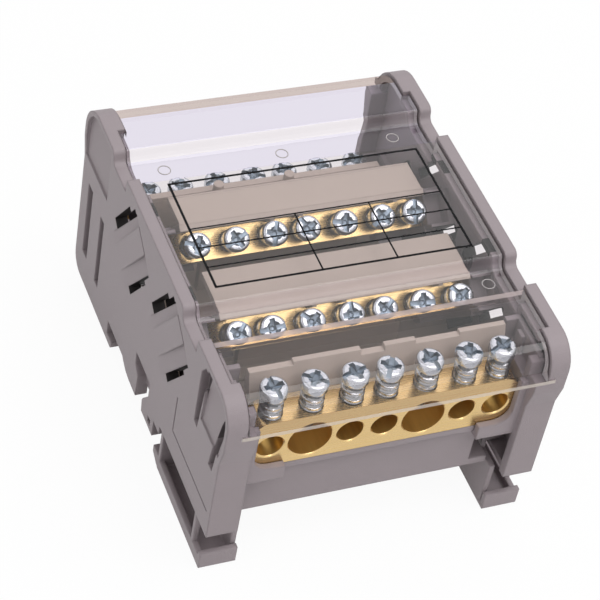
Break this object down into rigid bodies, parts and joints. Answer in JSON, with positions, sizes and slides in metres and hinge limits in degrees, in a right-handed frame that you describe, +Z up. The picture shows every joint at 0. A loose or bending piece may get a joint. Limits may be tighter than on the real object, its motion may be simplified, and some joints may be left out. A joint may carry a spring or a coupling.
{
  "type": "power distribution block",
  "caption": "Rail-mounted power distribution block: staged brass bars with wire bores and clamping screws between grey end walls, under a clear stepped cover.",
  "frame": {"origin": "on the standing plane, midway between the end walls and between the front and rear of the rim", "axes": "+Z up away from the rail, -Y towards the front with the high bar, X along the bars"},
  "size_m": [0.0712, 0.0924, 0.0496],
  "materials": {
    "grey_plastic": "fine satin moulding",
    "clear_plastic": "polished, clear",
    "brass": "drawn and drilled, bare",
    "zinc": "zinc plated, clear passivated"
  },
  "bodies": {
    "block": {"wall_left": "grey_plastic", "wall_right": "grey_plastic", "carrier": "grey_plastic", "bar_1": "brass", "bar_2": "brass", "bar_3": "brass", "bar_4": "brass"},
    "cover": {"cover": "clear_plastic"},
    "slider_left": {"slider_left": "grey_plastic"},
    "slider_right": {"slider_right": "grey_plastic"},
    "screw_1_1": {"screw_1_1": "zinc"},
    "screw_1_2": {"screw_1_2": "zinc"},
    "screw_1_3": {"screw_1_3": "zinc"},
    "screw_1_4": {"screw_1_4": "zinc"},
    "screw_1_5": {"screw_1_5": "zinc"},
    "screw_1_6": {"screw_1_6": "zinc"},
    "screw_1_7": {"screw_1_7": "zinc"},
    "screw_2_1": {"screw_2_1": "zinc"},
    "screw_2_2": {"screw_2_2": "zinc"},
    "screw_2_3": {"screw_2_3": "zinc"},
    "screw_2_4": {"screw_2_4": "zinc"},
    "screw_2_5": {"screw_2_5": "zinc"},
    "screw_2_6": {"screw_2_6": "zinc"},
    "screw_2_7": {"screw_2_7": "zinc"},
    "screw_3_1": {"screw_3_1": "zinc"},
    "screw_3_2": {"screw_3_2": "zinc"},
    "screw_3_3": {"screw_3_3": "zinc"},
    "screw_3_4": {"screw_3_4": "zinc"},
    "screw_3_5": {"screw_3_5": "zinc"},
    "screw_3_6": {"screw_3_6": "zinc"},
    "screw_3_7": {"screw_3_7": "zinc"},
    "screw_4_1": {"screw_4_1": "zinc"},
    "screw_4_2": {"screw_4_2": "zinc"},
    "screw_4_3": {"screw_4_3": "zinc"},
    "screw_4_4": {"screw_4_4": "zinc"},
    "screw_4_5": {"screw_4_5": "zinc"},
    "screw_4_6": {"screw_4_6": "zinc"},
    "screw_4_7": {"screw_4_7": "zinc"}
  },
  "joints": [
    {"name": "cover_lift", "type": "slide", "parent": "block", "child": "cover", "axis": [0, 0, 1], "range_m": [0, 0.02]},
    {"name": "slider_left_pull", "type": "slide", "parent": "block", "child": "slider_left", "axis": [0, -1, 0], "range_m": [0, 0.0042], "stiffness_N_per_m": 1500},
    {"name": "slider_right_pull", "type": "slide", "parent": "block", "child": "slider_right", "axis": [0, -1, 0], "range_m": [0, 0.0042], "stiffness_N_per_m": 1500},
    {"name": "screw_1_1_drive", "type": "slide", "parent": "block", "child": "screw_1_1", "axis": [0, 0, 1], "range_m": [-0.0043, 0]},
    {"name": "screw_1_2_drive", "type": "slide", "parent": "block", "child": "screw_1_2", "axis": [0, 0, 1], "range_m": [-0.0043, 0]},
    {"name": "screw_1_3_drive", "type": "slide", "parent": "block", "child": "screw_1_3", "axis": [0, 0, 1], "range_m": [-0.0043, 0]},
    {"name": "screw_1_4_drive", "type": "slide", "parent": "block", "child": "screw_1_4", "axis": [0, 0, 1], "range_m": [-0.0043, 0]},
    {"name": "screw_1_5_drive", "type": "slide", "parent": "block", "child": "screw_1_5", "axis": [0, 0, 1], "range_m": [-0.0043, 0]},
    {"name": "screw_1_6_drive", "type": "slide", "parent": "block", "child": "screw_1_6", "axis": [0, 0, 1], "range_m": [-0.0043, 0]},
    {"name": "screw_1_7_drive", "type": "slide", "parent": "block", "child": "screw_1_7", "axis": [0, 0, 1], "range_m": [-0.0043, 0]},
    {"name": "screw_2_1_drive", "type": "slide", "parent": "block", "child": "screw_2_1", "axis": [0, -0.6428, 0.766], "range_m": [-0.0031, 0]},
    {"name": "screw_2_2_drive", "type": "slide", "parent": "block", "child": "screw_2_2", "axis": [0, -0.6428, 0.766], "range_m": [-0.0031, 0]},
    {"name": "screw_2_3_drive", "type": "slide", "parent": "block", "child": "screw_2_3", "axis": [0, -0.6428, 0.766], "range_m": [-0.0031, 0]},
    {"name": "screw_2_4_drive", "type": "slide", "parent": "block", "child": "screw_2_4", "axis": [0, -0.6428, 0.766], "range_m": [-0.0031, 0]},
    {"name": "screw_2_5_drive", "type": "slide", "parent": "block", "child": "screw_2_5", "axis": [0, -0.6428, 0.766], "range_m": [-0.0031, 0]},
    {"name": "screw_2_6_drive", "type": "slide", "parent": "block", "child": "screw_2_6", "axis": [0, -0.6428, 0.766], "range_m": [-0.0031, 0]},
    {"name": "screw_2_7_drive", "type": "slide", "parent": "block", "child": "screw_2_7", "axis": [0, -0.6428, 0.766], "range_m": [-0.0031, 0]},
    {"name": "screw_3_1_drive", "type": "slide", "parent": "block", "child": "screw_3_1", "axis": [0, -0.6428, 0.766], "range_m": [-0.0031, 0]},
    {"name": "screw_3_2_drive", "type": "slide", "parent": "block", "child": "screw_3_2", "axis": [0, -0.6428, 0.766], "range_m": [-0.0031, 0]},
    {"name": "screw_3_3_drive", "type": "slide", "parent": "block", "child": "screw_3_3", "axis": [0, -0.6428, 0.766], "range_m": [-0.0031, 0]},
    {"name": "screw_3_4_drive", "type": "slide", "parent": "block", "child": "screw_3_4", "axis": [0, -0.6428, 0.766], "range_m": [-0.0031, 0]},
    {"name": "screw_3_5_drive", "type": "slide", "parent": "block", "child": "screw_3_5", "axis": [0, -0.6428, 0.766], "range_m": [-0.0031, 0]},
    {"name": "screw_3_6_drive", "type": "slide", "parent": "block", "child": "screw_3_6", "axis": [0, -0.6428, 0.766], "range_m": [-0.0031, 0]},
    {"name": "screw_3_7_drive", "type": "slide", "parent": "block", "child": "screw_3_7", "axis": [0, -0.6428, 0.766], "range_m": [-0.0031, 0]},
    {"name": "screw_4_1_drive", "type": "slide", "parent": "block", "child": "screw_4_1", "axis": [0, 0, 1], "range_m": [-0.0043, 0]},
    {"name": "screw_4_2_drive", "type": "slide", "parent": "block", "child": "screw_4_2", "axis": [0, 0, 1], "range_m": [-0.0043, 0]},
    {"name": "screw_4_3_drive", "type": "slide", "parent": "block", "child": "screw_4_3", "axis": [0, 0, 1], "range_m": [-0.0043, 0]},
    {"name": "screw_4_4_drive", "type": "slide", "parent": "block", "child": "screw_4_4", "axis": [0, 0, 1], "range_m": [-0.0043, 0]},
    {"name": "screw_4_5_drive", "type": "slide", "parent": "block", "child": "screw_4_5", "axis": [0, 0, 1], "range_m": [-0.0043, 0]},
    {"name": "screw_4_6_drive", "type": "slide", "parent": "block", "child": "screw_4_6", "axis": [0, 0, 1], "range_m": [-0.0043, 0]},
    {"name": "screw_4_7_drive", "type": "slide", "parent": "block", "child": "screw_4_7", "axis": [0, 0, 1], "range_m": [-0.0043, 0]}
  ]
}
